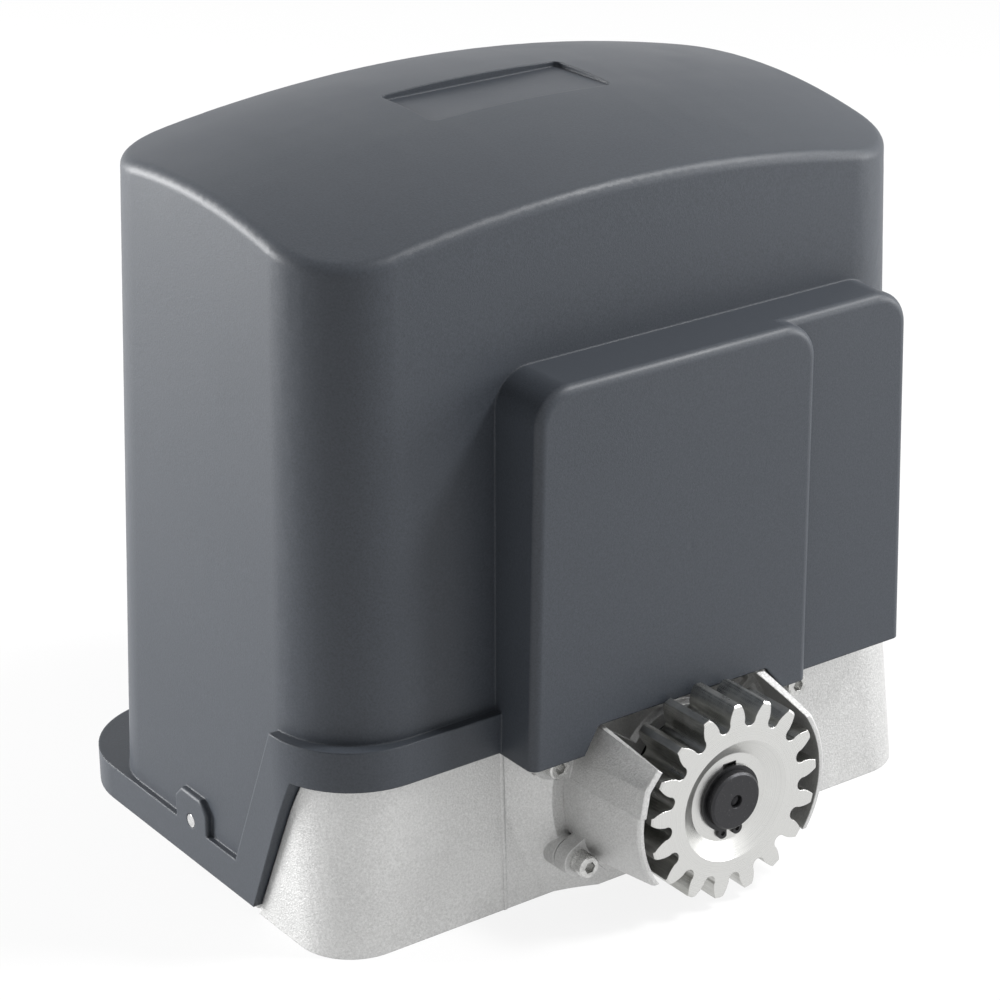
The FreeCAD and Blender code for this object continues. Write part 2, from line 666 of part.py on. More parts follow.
def gear_guard():
    """Two cheeks beside the pinion on a ring flange, open above and below."""
    t = GUARD_T
    fy = FLANGE_Y
    front = GUARD_FRONT_Y - fy
    knee = GUARD_TAPER_Y - fy
    floor = -GUARD_FLOOR
    wall = turned([
        (GUARD_R, 0), (GUARD_R, knee), (GUARD_FRONT_R, front + 0.8), (GUARD_FRONT_R - 0.8, front),
        (GUARD_FRONT_R - t + 0.4, front),
        (GUARD_R - t, knee), (GUARD_R - t, 0)], GX, fy, GZ, Y)
    z0 = CHEEK_Z0
    s = CHEEK_SLOPE
    ya = GUARD_FRONT_Y - 3
    za = z0 - 3 * s
    zb = za + s * (fy - ya)
    split = GZ + CHEEK_SPLIT + 1.0
    low = GZ - z0
    left = side_region([(ya, low), (fy, low), (fy, split), (ya, split)]).common(box(-100, GX, -200, 0,
        -50, 200))
    right = side_region([(ya, low), (fy, low), (fy, GZ + zb), (ya, GZ + za)]).common(box(GX, 100, -200,
        0, -50, 200))
    wall = wall.common(left.fuse(right))
    plates = [cheek_plate(-1)]
    disc = turned([(19.0, 0), (19.0, floor), (24, floor), (25.5, floor + 2.2), (41, floor + 2.2),
                   (42.5, floor), (GUARD_R - t / 2, floor), (GUARD_R - t / 2, 0)], GX, fy, GZ, Y)
    disc = disc.common(box(GX - 60, GX + 60, fy - 20, fy, GZ - 34, GZ + 31))
    pieces = [wall, disc] + plates
    for a in (35, 145, 215, 325):
        rib = box(20, 44, -1.6, 1.6, 0, GUARD_FLOOR)
        rib.rotate(V(0, 0, 0), Z, a)
        rib.Placement = FreeCAD.Placement(V(GX, fy, GZ), FreeCAD.Rotation(X, 90)).multiply(rib.Placement)
        pieces.append(rib)
    for dx, dz, deep in LUGS:
        face = LUG_FACE_Y + deep
        pieces.append(cyl(LUG_R, GX + dx, face, GZ + dz, LUG_T, Y))
        pieces.append(ear(dx, dz, face, min(face + LUG_T, fy)))
    solid = join(pieces)
    holes = []
    for dx, dz, deep in LUGS:
        face = LUG_FACE_Y + deep
        holes.append(cyl(M5_R + 0.25, GX + dx, face - 1, GZ + dz, 20, Y))
        holes.append(cyl(M5_HEAD_R + 0.8, GX + dx, face - 14, GZ + dz, 14, Y))
        holes.append(cyl(LUG_R + 0.6, GX + dx, face + LUG_T, GZ + dz, 20, Y))
    return minus(solid, holes)


def guard_screws():
    out = []
    for dx, dz, deep in LUGS:
        seat = LUG_FACE_Y + deep - WASHER_T
        out.append(screw(GX + dx, seat, GZ + dz, Y, M5_R, LUG_SCREW_L, M5_HEAD_R, M5_HEAD_H, 2.3))
    return Part.makeCompound(out)


def guard_washers():
    out = []
    for dx, dz, deep in LUGS:
        seat = LUG_FACE_Y + deep - WASHER_T
        w = ring(M5_R, 4.3, GX + dx, seat, GZ + dz, WASHER_T, Y)
        cut = box(-0.4, 0.4, 0, 6, -0.1, WASHER_T + 0.1)
        cut.Placement = FreeCAD.Placement(V(GX + dx, seat, GZ + dz), FreeCAD.Rotation(Z, Y))
        out.append(w.cut(cut))
    return Part.makeCompound(out)


def gear_wire(module, teeth, play, first_deg):
    """Involute outline in the local XY plane; play thins each flank along the pitch circle."""
    pitch = module * teeth / 2
    base = pitch * math.cos(math.radians(20))
    tip = pitch + module
    root = pitch - 1.25 * module
    low = max(base * 1.002, root + 0.2 * module)
    inv20 = math.tan(math.radians(20)) - math.radians(20)
    half = math.pi / (2 * teeth) - play / pitch

    def spread(r):
        a = math.acos(min(1.0, base / r))
        return half + inv20 - (math.tan(a) - a)

    def at(r, ang):
        return V(r * math.cos(ang), r * math.sin(ang), 0)

    radii = (low, (low + tip) / 2, tip)
    step = 2 * math.pi / teeth
    edges = []
    for i in range(teeth):
        c = math.radians(first_deg) + i * step
        up = [at(r, c - spread(r)) for r in radii]
        down = [at(r, c + spread(r)) for r in reversed(radii)]
        nxt = at(radii[0], c + step - spread(radii[0]))
        edges.append(Part.Arc(*up).toShape())
        edges.append(Part.Arc(up[2], at(tip, c), down[0]).toShape())
        edges.append(Part.Arc(*down).toShape())
        edges.append(Part.Arc(down[2], at(root, c + step / 2), nxt).toShape())
    return Part.Wire(edges)


def along_y(shape, x, y, z):
    """Stand a shape drawn in XY on the Y axis, local +X to +X, local +Y to +Z."""
    turn = FreeCAD.Rotation(V(1, 0, 0), V(0, 0, 1), V(0, -1, 0), "XYZ")
    shape.Placement = FreeCAD.Placement(V(x, y, z), turn)
    return shape


def pinion():
    blank = Part.Face(gear_wire(MODULE, TEETH, 0.05, 90)).extrude(V(0, 0, PINION_W))
    blank = along_y(blank, GX, PINION_BACK, GZ)
    c = 0.7
    w = PINION_W
    form = turned([(0, 0), (TIP_R - c, 0), (TIP_R + 0.1, c), (TIP_R + 0.1, w - c), (TIP_R - c, w), (0, w)],
                  GX, GY, GZ, Y)
    solid = blank.common(form)
    solid = solid.fuse(cyl(18.5, GX, PINION_BACK - 1, GZ, 6, Y))
    solid = solid.cut(turned([(0, -1), (RECESS_R + 0.8, -1), (RECESS_R, 0), (RECESS_FLOOR_R, RECESS_D),
        (0, RECESS_D)],
                             GX, GY, GZ, Y))
    solid = solid.cut(cyl(SHAFT_NOSE_R, GX, GY - 1, GZ, 40, Y))
    return solid.cut(box(GX - KEY_W / 2, GX + KEY_W / 2, GY - 1, PINION_BACK + 10, GZ,
        GZ + SHAFT_NOSE_R + 2.8))


def output_shaft():
    """Turned shaft, front end to tail, with ring groove and keyways."""
    nose = GY - 0.4
    groove = GY + RECESS_D
    p = [
        (0, nose), (2.0, nose), (SHAFT_NOSE_R - 0.8, nose), (SHAFT_NOSE_R, nose + 0.8),
        (SHAFT_NOSE_R, groove - RING_T),
        (SHAFT_NOSE_R - 0.5, groove - RING_T), (SHAFT_NOSE_R - 0.5, groove), (SHAFT_NOSE_R, groove),
        (SHAFT_NOSE_R, PINION_BACK + 5), (SHAFT_R, PINION_BACK + 5), (SHAFT_R, -72.7), (15, -72.7),
        (15, -69),
        (WHEEL_SEAT_R, -69), (WHEEL_SEAT_R, -14), (SHAFT_R, -14), (SHAFT_R, 12), (SHAFT_TAIL_R, 12),
        (SHAFT_TAIL_R, 26.7), (SHAFT_TAIL_R - 0.8, 27.5), (0, 27.5)]
    solid = turned([(r, s) for r, s in p], GX, 0, GZ, Y)
    drill = turned([(0, nose - 1), (3.1, nose - 1), (2.3, nose + 0.6), (2.3, nose + 2), (0, nose + 4)],
        GX, 0, GZ, Y)
    slots = [
        box(GX - KEY_W / 2, GX + KEY_W / 2, GY + 6, PINION_BACK - 2, GZ + SHAFT_NOSE_R - 3.2, GZ + 20),
        box(GX - 4, GX + 4, -42, -18, GZ + WHEEL_SEAT_R - 4, GZ + 20),
        box(GX - 4, GX + 4, -12, 10, GZ + SHAFT_R - 4, GZ + 20),
    ]
    return minus(solid, [drill] + slots)


def keys():
    a = box(GX - KEY_W / 2, GX + KEY_W / 2, GY + 6, PINION_BACK - 2, GZ + SHAFT_NOSE_R - 3.2,
        GZ + SHAFT_NOSE_R + 2.8)
    b = box(GX - 4, GX + 4, -42, -18, GZ + WHEEL_SEAT_R - 4, GZ + WHEEL_SEAT_R + 3)
    c = box(GX - 4, GX + 4, -12, 10, GZ + SHAFT_R - 4, GZ + SHAFT_R + 2.8)
    return Part.makeCompound([a, b, c])


def retaining_ring():
    """External ring in its groove, two ears with plier holes at the gap."""
    y = GY + RECESS_D - RING_T
    body = ring(SHAFT_NOSE_R - 0.5, SHAFT_NOSE_R + 1.7, 0, 0, 0, RING_T)
    ears = []
    for s in (-1, 1):
        a = math.radians(270 + s * 14)
        ears.append(cyl(2.3, 13.4 * math.cos(a), 13.4 * math.sin(a), 0, RING_T))
    solid = body.fuse(ears)
    solid = solid.cut(cyl(SHAFT_NOSE_R - 0.5, 0, 0, -1, 5))
    solid = solid.cut(box(-1.6, 1.6, -20, -8, -1, 5))
    for s in (-1, 1):
        a = math.radians(270 + s * 14)
        solid = solid.cut(cyl(0.9, 13.6 * math.cos(a), 13.6 * math.sin(a), -1, 5))
    solid.rotate(V(0, 0, 0), Z, -38)
    return along_y(solid, GX, y + RING_T, GZ)


def bearing(spec, x, y, z, axis):
    """Two races, a shield between them, set back from both faces."""
    r0, r1, w = spec
    d = r1 - r0
    r0 += RUN
    inner = ring(r0, r0 + 0.27 * d, 0, 0, 0, w)
    outer = ring(r1 - 0.27 * d, r1, 0, 0, 0, w)
    shield = ring(r0 + 0.27 * d, r1 - 0.27 * d, 0, 0, 0.8, w - 1.6)
    solid = inner.fuse([outer, shield])
    solid.Placement = FreeCAD.Placement(V(x, y, z), FreeCAD.Rotation(Z, axis))
    return solid


def worm_wheel():
    """Wheel with inclined teeth, keyed hub and three dogs on the rear face of the hub."""
    y0 = WHEEL_Y - WHEEL_W / 2
    twist = math.degrees(LEAD / (2 * math.pi * WORM_PITCH_R) / WHEEL_PITCH_R)
    loops = []
    for y in (y0, y0 + WHEEL_W):
        # drawn plane has local +Y along +Z, so the turn about world +Y is negative
        wire = gear_wire(WORM_MODULE, WHEEL_TEETH, MESH_PLAY / 2, 180 - twist * (y - WHEEL_Y))
        loops.append(along_y(wire, GX, y, GZ))
    solid = Part.makeLoft(loops, True, True)
    solid = solid.fuse([cyl(SLEEVE_R, GX, -45, GZ, 31, Y)])
    solid = solid.fuse(dogs(0, -14 - 1, DOG_H + 1))
    solid = solid.cut(cyl(WHEEL_SEAT_R, GX, -60, GZ, 60, Y))
    return solid.cut(box(GX - 4, GX + 4, -60, 0, GZ, GZ + WHEEL_SEAT_R + 3))


def dogs(turn, y, h):
    out = []
    for i in range(3):
        a0 = turn + 120 * i
        p = [V(0, 0, 0)]
        arc = []
        for k in range(6):
            a = math.radians(a0 - 25 + 10 * k)
            arc.append(V(30 * math.cos(a), 30 * math.sin(a), 0))
        wedge = Part.Face(Part.makePolygon(p + arc + p)).extrude(V(0, 0, h))
        out.append(ring(15.8, SLEEVE_R, 0, 0, 0, h).common(wedge))
    solid = Part.makeCompound(out)
    turn_y = FreeCAD.Rotation(V(1, 0, 0), V(0, 0, 1), V(0, -1, 0), "XYZ")
    solid.Placement = FreeCAD.Placement(V(GX, y + h, GZ), turn_y)
    return solid.Solids


def clutch_sleeve():
    """Sleeve that slides on the key; its dogs reach between those of the wheel."""
    y0 = -14 + DOG_H + FREE
    solid = cyl(SLEEVE_R, GX, y0, GZ, 14, Y)
    solid = solid.fuse(dogs(60, y0 - DOG_H, DOG_H + 1))
    half = PIN_R + 0.45
    mid = RELEASE_Y - ECCENTRIC * math.sqrt(0.5)
    solid = solid.cut(ring(17.5, SLEEVE_R + 1, GX, mid - half, GZ, 2 * half, Y))
    solid = solid.cut(cyl(SHAFT_R + RUN, GX, -20, GZ, 40, Y))
    solid = solid.cut(cyl(WHEEL_SEAT_R + FREE, GX, -20, GZ, 6.4, Y))
    return solid.cut(box(GX - 4.1, GX + 4.1, -20, 20, GZ, GZ + SHAFT_R + 3.1))


def release_spindle():
    """Spindle through the base wall with an eccentric pin in the groove of the sleeve."""
    rod = cyl(SPINDLE_R, GX + 31.5, RELEASE_Y, RELEASE_Z, LEVER_X + 4 - GX - 31.5, X)
    web = cyl(9.0, GX + 24.5, RELEASE_Y, RELEASE_Z, 8, X)
    d = ECCENTRIC * math.sqrt(0.5)
    pin = cyl(PIN_R, GX + 17.9, RELEASE_Y - d, RELEASE_Z - d, 8, X)
    return rod.fuse([web, pin])


def release_lever():
    """Handle on the end face, hub round the spindle, arm with a rounded grip."""
    x = LEVER_X
    hub = cyl(11.0, x, RELEASE_Y, RELEASE_Z, 9, X)
    hub = hub.makeFillet(1.2, [e for e in hub.Edges if e.BoundBox.XMin > x + 8.9])
    pts = [(RELEASE_Y, 8.0), (RELEASE_Y + 40, 5.5)]
    face = face_of([(x + 1.5, pts[0][0], RELEASE_Z - 8), (x + 1.5, pts[1][0], RELEASE_Z - 5.5),
                    (x + 1.5, pts[1][0], RELEASE_Z + 5.5), (x + 1.5, pts[0][0], RELEASE_Z + 8)])
    arm = face.extrude(V(5.5, 0, 0))
    grip = cyl(5.5, x + 1.5, RELEASE_Y + 40, RELEASE_Z, 10, X)
    grip = grip.makeFillet(1.5, [e for e in grip.Edges if e.BoundBox.XMin > x + 11])
    solid = join([hub, arm, grip])
    solid = solid.cut(cyl(SPINDLE_R, x - 1, RELEASE_Y, RELEASE_Z, 5, X))
    return solid.cut(cyl(7.0, x + 4, RELEASE_Y, RELEASE_Z, 8, X))


def release_lock():
    """Lock cylinder in the hub, with its key slot."""
    x = LEVER_X
    body = cyl(7.0, x + 4, RELEASE_Y, RELEASE_Z, 5.4, X)
    keyway = box(x + 6.4, x + 12, RELEASE_Y - 0.8, RELEASE_Y + 0.8, RELEASE_Z - 4, RELEASE_Z + 4)
    return body.cut(keyway)


def worm():
    """Worm cut on the motor shaft, with its bearing seats."""
    root = WORM_PITCH_R - 1.25 * WORM_MODULE
    tip = WORM_PITCH_R + WORM_MODULE
    z0 = GZ - LEAD * WORM_TURNS / 2
    z1 = GZ + LEAD * WORM_TURNS / 2
    p = [
        (0, 11), (6, 11), (6, 20.3), (7.5, 20.3), (7.5, 21.5), (root, 22.5), (root, z1 + 3), (8.5, z1 + 5),
        (8.5, 88.3), (9.0, 88.3), (9.0, 200), (7.5, 202), (7.5, 226.5), (0, 226.5)]
    core = turned(p, MX, MY, 0, Z)
    half = LEAD / 4 - MESH_PLAY / 2
    lean = math.tan(math.radians(20))
    sunk = root - 0.3
    prof = []
    for r, s in ((sunk, -1), (tip, -1), (tip, 1), (sunk, 1)):
        prof.append(V(r, 0, s * (half - (r - WORM_PITCH_R) * lean)))
    wire = Part.makePolygon(prof + [prof[0]])
    path = Part.makeHelix(LEAD, LEAD * WORM_TURNS, WORM_PITCH_R)
    thread = Part.Wire(path).makePipeShell([wire], True, True)
    thread.translate(V(MX, MY, z0))
    return core.fuse(thread)


def rotor():
    solid = cyl(ROTOR_R, MX, MY, STACK_Z0, STACK_Z1 - STACK_Z0)
    solid = solid.fuse([ring(18, 28, MX, MY, STACK_Z0 - 6, 7), ring(18, 28, MX, MY, STACK_Z1 - 1, 7)])
    return solid.cut(cyl(9.0, MX, MY, 90, 110))


def stator():
    solid = ring(STATOR_BORE, STATOR_R, MX, MY, STACK_Z0, STACK_Z1 - STACK_Z0)
    slots = []
    for i in range(24):
        a = math.radians(15 * i)
        r = 38.0
        slots.append(cyl(1.6, MX + r * math.cos(a), MY + r * math.sin(a), STACK_Z0 - 1, 100))
    return solid.cut(Part.makeCompound(slots))


def windings():
    out = []
    for z in (STACK_Z0 - 16, STACK_Z1):
        r = ring(33, 42.6, MX, MY, z, 16)
        outer = [e for e in r.Edges if e.Curve.TypeId == "Part::GeomCircle"]
        level = z if z < 150 else z + 16
        out.append(r.makeFillet(3.5, [e for e in outer if abs(e.BoundBox.ZMin - level) < 0.1]))
    return Part.makeCompound(out)


def motor_housing():
    solid = ring(STATOR_R, MOTOR_R, MX, MY, LID_TOP, MOTOR_TOP - LID_TOP)
    fins = []
    for i in range(16):
        a = 22.5 * i + 11.25
        if min(abs((a - q) % 360) for q in (45, 135, 225, 315)) < 8 or abs((a % 90) - 45) < 12:
            continue
        fin = box(MOTOR_R - 1, MOTOR_R + 2.5, -1.2, 1.2, 0, STACK_Z1 - STACK_Z0)
        fin.rotate(V(0, 0, 0), Z, a)
        fin.translate(V(MX, MY, STACK_Z0))
        fins.append(fin)
    return solid.fuse(fins)


def tie_points():
    d = TIE_R * math.sqrt(0.5)
    return [(MX - d, MY - d), (MX + d, MY - d), (MX + d, MY + d), (MX - d, MY + d)]


def motor_cap():
    z = MOTOR_TOP
    cap = turned([(0, 0), (MOTOR_R, 0), (MOTOR_R, 5), (MOTOR_R - 4, 7.5), (38, 12), (26, 14),
        (22, CAP_T), (0, CAP_T)],
                 MX, MY, z, Z)
    ears = [cyl(6.5, x, y, z, 8) for x, y in tie_points()]
    cap = cap.fuse(ears)
    cap = cap.cut(cyl(STATOR_R - 2, MX, MY, z - 1, 3))
    cap = cap.cut(cyl(BRG_6202[1], MX, MY, z - 1, 1 + BRG_6202[2] + 2))
    return minus(cap, [cyl(M5_R, x, y, z - 1, 20) for x, y in tie_points()])


def tie_bolts():
    out = []
    z = MOTOR_TOP + 8
    for x, y in tie_points():
        rod = cyl(M5_R, x, y, LID_TOP - 8, z + 2 - LID_TOP + 8)
        out.append(rod.fuse(hexagon(4.6, V(x, y, z), Z, 4)))
    return Part.makeCompound(out)


def gearbox_lid():
    """Lid of the oil chamber and seat of the motor."""
    x0, x1, y0, y1 = BLOCK
    plate = bay(x0 + 1.5, x1 - 1, y0 + 4, y1 - 4, BASE_TOP, LID_TOP, 10)
    plate = plate.cut(bay(CHAMBER[0] + 3, CHAMBER[1] - 3, CHAMBER[2] + 3, CHAMBER[3] - 3, BASE_TOP - 1,
        BASE_TOP + 4, 6))
    plate = plate.fuse(cyl(26, MX, MY, BASE_TOP, 18))
    tools = [cyl(BRG_6203[1], MX, MY, BASE_TOP + 2, 20), cyl(10.5, MX, MY, 60, 30)]
    for x, y in LID_SCREWS:
        tools.append(cyl(3.0, x, y, 60, 40))
    for x, y in tie_points():
        tools.append(cyl(M5_R, x, y, LID_TOP - 8, 20))
    tools.append(cyl(6.0, 36, -52, 60, 40))
    return minus(plate, tools)


def lid_screws():
    return Part.makeCompound([screw(x, y, LID_TOP, Z * -1, 3.0, LID_SCREW_L, 5.0, 6.0, 2.9) for x,
        y in LID_SCREWS])


def oil_plug():
    body = cyl(6.0, 36, -52, LID_TOP - 6, 6).fuse(cyl(8.0, 36, -52, LID_TOP, 2))
    return body.fuse(hexagon(6.4, V(36, -52, LID_TOP + 2), Z, 5))


def shaft_seal():
    return ring(SHAFT_R + RUN, 20.0, GX, FLANGE_Y, GZ, 6, Y)


def capacitor():
    x, y = CAPACITOR_AT
    can = cyl(18, x, y, BAY_TOP, 78)
    can = can.makeFillet(2, [e for e in can.Edges if e.BoundBox.ZMin > BAY_TOP + 77])
    blades = []
    for s in (-6, 6):
        blades.append(box(x + s - 0.4, x + s + 0.4, y - 3, y + 3, BAY_TOP + 77, BAY_TOP + 86))
    return can.fuse(blades)


def capacitor_clip():
    x, y = CAPACITOR_AT
    clip = ring(18, 19.6, x, y, BAY_TOP, 26)
    clip = clip.cut(box(x - 6, x + 6, y - 30, y, BAY_TOP + 8, BAY_TOP + 40))
    foot = box(x + 17, x + 34, y - 7, y + 7, BAY_TOP, BAY_TOP + 2).cut(cyl(18, x, y, BAY_TOP - 1, 10))
    return clip.fuse(foot).cut(cyl(2.1, x + 27, y, BAY_TOP - 1, 5))


def board_carrier():
    x0 = BOARD_LEFT - 4
    x1 = BOARD_EDGE + 3
    foot = box(x0, x1, 40, 62, BAY_TOP, BAY_TOP + 3)
    wall = box(x0, x1, 56, 59, BAY_TOP, 236)
    wall = wall.makeFillet(6, [e for e in wall.Edges if e.BoundBox.YLength > 2.9 and e.BoundBox.ZMin > 200])
    webs = [box(x, x + 3, 42, 57, BAY_TOP, 84) for x in (BOARD_LEFT - 2, BOARD_EDGE - 2)]
    posts = [cyl(3.5, x, 50, z, 6.5, Y) for x in BOARD_X for z in BOARD_Z]
    window = box(BOARD_LEFT + 24, BOARD_EDGE - 18, 50, 62, 110, 208)
    return join([foot, wall] + webs + posts).cut(window)


def control_board():
    board = box(BOARD_LEFT, BOARD_EDGE, 48.4, 50, 86, 232)
    return minus(board, [cyl(1.6, x, 48, z, 3, Y) for x in BOARD_X for z in BOARD_Z])


def board_screws():
    out = []
    for x in BOARD_X:
        for z in BOARD_Z:
            out.append(cyl(1.6, x, 48.4, z, 1.6, Y).fuse(cyl(2.9, x, 46.6, z, 1.8, Y)))
    return Part.makeCompound(out)


def terminal_blocks():
    out = []
    for i in range(3):
        x0 = BOARD_LEFT + 9 + 27 * i
        strip = box(x0, x0 + 26, 36.4, 48.4, 88, 98)
        holes = [box(x0 + 1.2 + 5 * k, x0 + 4.8 + 5 * k, 36, 42, 89.5, 94) for k in range(5)]
        out.append(minus(strip, holes))
    return Part.makeCompound(out)


def relays():
    out = []
    for x0 in (BOARD_LEFT + 12, BOARD_LEFT + 36):
        r = box(x0, x0 + 19, 32.4, 48.4, 180, 196)
        out.append(r.makeFillet(0.8, [e for e in r.Edges if e.BoundBox.YLength > 15]))
    return Part.makeCompound(out)


def fuse_holder():
    x = BOARD_EDGE - 28
    body = box(x, x + 26, 40.4, 48.4, 184, 192)
    glass = cyl(2.6, x + 2, 38.8, 188, 22, X)
    return body.fuse(glass)


def board_chips():
    a = box(BOARD_LEFT + 32, BOARD_LEFT + 60, 45.4, 48.4, 134, 146)
    b = cyl(8, BOARD_EDGE - 14, 48.4, 150, 14, Y * -1)
    c = cyl(6, BOARD_EDGE - 14, 48.4, 124, 10, Y * -1)
    d = box(BOARD_LEFT + 14, BOARD_LEFT + 24, 42.4, 48.4, 116, 136)
    return Part.makeCompound([a, b, c, d])


def transformer_core():
    core = box(58, 92, -58, -14, BASE_FLOOR, BASE_FLOOR + 34)
    window = box(56, 94, -48, -24, BASE_FLOOR + 7, BASE_FLOOR + 27)
    return core.cut(window)


def transformer_coil():
    coil = box(56.5, 93.5, -47.4, -24.6, BASE_FLOOR + 7, BASE_FLOOR + 27)
    return coil.makeFillet(3, [e for e in coil.Edges if e.BoundBox.YLength > 20])


def limit_sensor():
    body = box(GX - 26, GX + 26, -104.6, -92.6, 118, 146)
    body = body.makeFillet(2, [e for e in body.Edges if e.BoundBox.YLength > 11])
    wings = [cyl(2.4, GX - 18, -94, 132, 3.2, Y), cyl(2.4, GX + 18, -94, 132, 3.2, Y)]
    return body.fuse(wings)


def sensor_bracket():
    """Folded sheet from the lid up to the sensor behind the bulge."""
    up = box(GX - 26, 47, -92.6, -91, 96, 150)
    tie = box(GX - 26, 47, -92.6, -76.0, 96, 97.6)
    legs = []
    for x in (9, 36):
        legs.append(box(x, x + 11, -77.6, -76, LID_TOP, 97.6))
        legs.append(box(x, x + 11, -77.6, -68, LID_TOP, LID_TOP + 1.6))
    solid = join([up, tie] + legs)
    return minus(solid, [cyl(2.4, GX + s * 18, -94, 132, 5, Y) for s in (-1, 1)])


def grommet():
    x, y = CABLE_X, CABLE_Y
    body = ring(CABLE_R, GROMMET_R, x, y, 0.5, BASE_FLOOR)
    lip = ring(CABLE_R, GROMMET_R + 3.5, x, y, BASE_FLOOR, 2.5)
    rim = [e for e in lip.Edges if e.BoundBox.ZMin > BASE_FLOOR + 2 and e.BoundBox.XLength > 26]
    lip = lip.makeFillet(0.8, rim)
    return body.fuse(lip)


def earth_screw():
    x, y = -40.0, 48.0
    head = hexagon(4.0, V(x, y, BAY_TOP + 1), Z, 3.2)
    return head.fuse([cyl(5, x, y, BAY_TOP, 1)])


def cover_screws():
    return Part.makeCompound([cross_screw(-1), cross_screw(1)])


NODES = {
    "base_casting": base_casting,
    "base_rear": base_rear,
    "gearbox_body": gearbox_body,
    "gear_guard": gear_guard,
    "guard_screws": guard_screws,
    "guard_washers": guard_washers,
    "cover": cover,
    "cover_screws": cover_screws,
    "pinion": pinion,
    "output_shaft": output_shaft,
    "shaft_keys": keys,
    "retaining_ring": retaining_ring,
    "front_bearing": lambda: bearing(BRG_6205, GX, -88, GZ, Y),
    "rear_bearing": lambda: bearing(BRG_6204, GX, 14, GZ, Y),
    "shaft_seal": shaft_seal,
    "worm_wheel": worm_wheel,
    "clutch_sleeve": clutch_sleeve,
    "release_spindle": release_spindle,
    "release_lever": release_lever,
    "release_lock": release_lock,
    "worm": worm,
    "worm_bearing": lambda: bearing(BRG_6201, MX, MY, 10, Z),
    "motor_lower_bearing": lambda: bearing(BRG_6203, MX, MY, BASE_TOP + 2, Z),
    "motor_upper_bearing": lambda: bearing(BRG_6202, MX, MY, MOTOR_TOP + 2, Z),
    "rotor": rotor,
    "stator": stator,
    "windings": windings,
    "motor_housing": motor_housing,
    "motor_cap": motor_cap,
    "tie_bolts": tie_bolts,
    "gearbox_lid": gearbox_lid,
    "lid_screws": lid_screws,
    "oil_plug": oil_plug,
    "capacitor": capacitor,
    "capacitor_clip": capacitor_clip,
    "board_carrier": board_carrier,
    "control_board": control_board,
    "board_screws": board_screws,
    "terminal_blocks": terminal_blocks,
    "relays": relays,
    "fuse_holder": fuse_holder,
    "board_chips": board_chips,
    "transformer_core": transformer_core,
    "transformer_coil": transformer_coil,
    "limit_sensor": limit_sensor,
    "sensor_bracket": sensor_bracket,
    "cable_grommet": grommet,
    "earth_screw": earth_screw,
}


def main():
    os.makedirs("parts", exist_ok=True)
    for name, make in NODES.items():
        shape = make()
        shape.exportStep("parts/" + name + ".step")
        b = shape.optimalBoundingBox()
        print(name, len(shape.Solids), shape.isValid(), round(shape.Volume), [round(v, 1) for v in (
            b.XMin, b.XMax, b.YMin, b.YMax, b.ZMin, b.ZMax)])


main()
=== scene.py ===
"""Looks, light and camera of the sliding gate motor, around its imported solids."""
import json
import math

import bmesh
import bpy
from mathutils import Matrix, Vector


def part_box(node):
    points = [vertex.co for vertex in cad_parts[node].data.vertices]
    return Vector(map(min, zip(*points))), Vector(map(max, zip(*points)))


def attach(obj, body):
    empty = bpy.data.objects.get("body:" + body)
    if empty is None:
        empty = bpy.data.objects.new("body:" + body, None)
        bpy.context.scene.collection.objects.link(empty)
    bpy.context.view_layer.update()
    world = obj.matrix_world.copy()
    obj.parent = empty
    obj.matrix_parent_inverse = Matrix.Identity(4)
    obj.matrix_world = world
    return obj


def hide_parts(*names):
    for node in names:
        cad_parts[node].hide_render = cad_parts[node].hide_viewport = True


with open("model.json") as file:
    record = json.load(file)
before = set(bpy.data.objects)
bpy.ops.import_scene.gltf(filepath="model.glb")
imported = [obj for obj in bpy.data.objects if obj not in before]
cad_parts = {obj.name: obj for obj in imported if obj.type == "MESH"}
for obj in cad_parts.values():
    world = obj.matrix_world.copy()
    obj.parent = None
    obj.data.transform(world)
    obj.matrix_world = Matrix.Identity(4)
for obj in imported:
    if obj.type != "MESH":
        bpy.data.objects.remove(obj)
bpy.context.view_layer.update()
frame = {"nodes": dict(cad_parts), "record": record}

MM = 0.001
NODES = frame["nodes"]
BODY_OF = {n: b for b, names in frame["record"]["behaviour"]["bodies"].items() for n in names}
SLOT_OF = {s["node"]: s["material_slot"] for s in frame["record"]["subparts"]}

# ---- axes taken from the frame ----
PINION_LOW, PINION_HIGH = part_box("pinion")
AXIS_X = (PINION_LOW.x + PINION_HIGH.x) / 2
AXIS_Z = (PINION_LOW.z + PINION_HIGH.z) / 2
ROTOR_LOW, ROTOR_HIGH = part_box("rotor")
ROTOR_X = (ROTOR_LOW.x + ROTOR_HIGH.x) / 2
ROTOR_Y = (ROTOR_LOW.y + ROTOR_HIGH.y) / 2

# ---- surfaces ----
MIDDLE = (0.3, 0.7)      # the stretch of a noise's values that most of it fills
WELD = 0.002 * MM        # vertices closer than this become one
CREASE = 32.0            # degrees between faces from which an edge stays sharp
EVEN_WEIGHT = 80

# ---- stage ----
WORLD_LIGHT = 0.3
FLOOR_HALF = 3.0
FLOOR_DROP = 0.02 * MM
FLOOR_WHITE = 0.86       # share of plain white that the camera sees, the rest shows shadow
LIGHT_AIM = Vector((0, 0, 0.12))
LAMPS = (                # name, azimuth, elevation, distance, size, power
    ("end_key", 138, 11, 1.8, 0.8, 62),
    ("edge_light", -54, 49, 1.8, 0.35, 30),
    ("front_fill", -60, 14, 1.2, 0.5, 9),
)
CAMERA_AZIMUTH = 35.533
CAMERA_ELEVATION = 23.196
CAMERA_ROLL = -0.487
CAMERA_PLACE = Vector((-0.64231, -0.89937, 0.58758))
CAMERA_LENS = 114.80
CAMERA_SENSOR = 36.0


